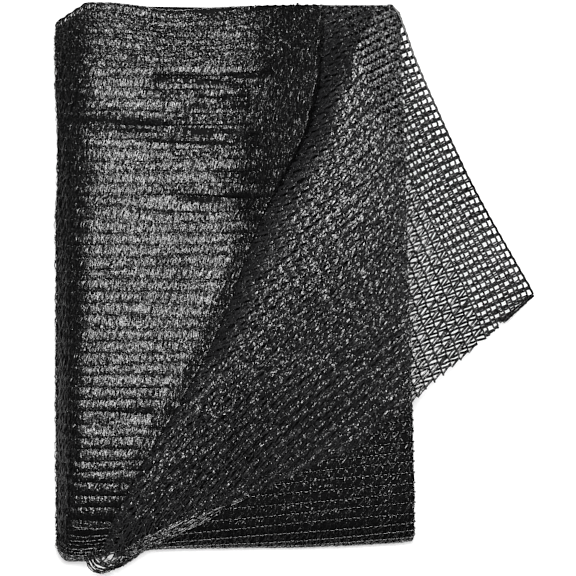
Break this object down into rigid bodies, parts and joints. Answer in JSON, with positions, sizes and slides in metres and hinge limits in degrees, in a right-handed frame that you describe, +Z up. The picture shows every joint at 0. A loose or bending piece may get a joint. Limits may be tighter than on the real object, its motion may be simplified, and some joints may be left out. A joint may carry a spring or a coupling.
{
  "type": "folded shade net",
  "caption": "Black knitted shade net folded into a flat rectangular pack, one see-through corner of its top layer peeled over and hanging past the side.",
  "frame": {"origin": "centre of the pack's outline, flap and free corner included, on the surface that it lies on", "axes": "+X across the pack towards the free corner, +Y from the bottom fold towards the selvages, +Z up from the surface"},
  "size_m": [0.4002, 0.4793, 0.07],
  "materials": {
    "black_knit": "glossy black polyethylene tape and monofilament, warp knitted"
  },
  "bodies": {
    "root": {"shade_net": "black_knit"}
  },
  "joints": []
}
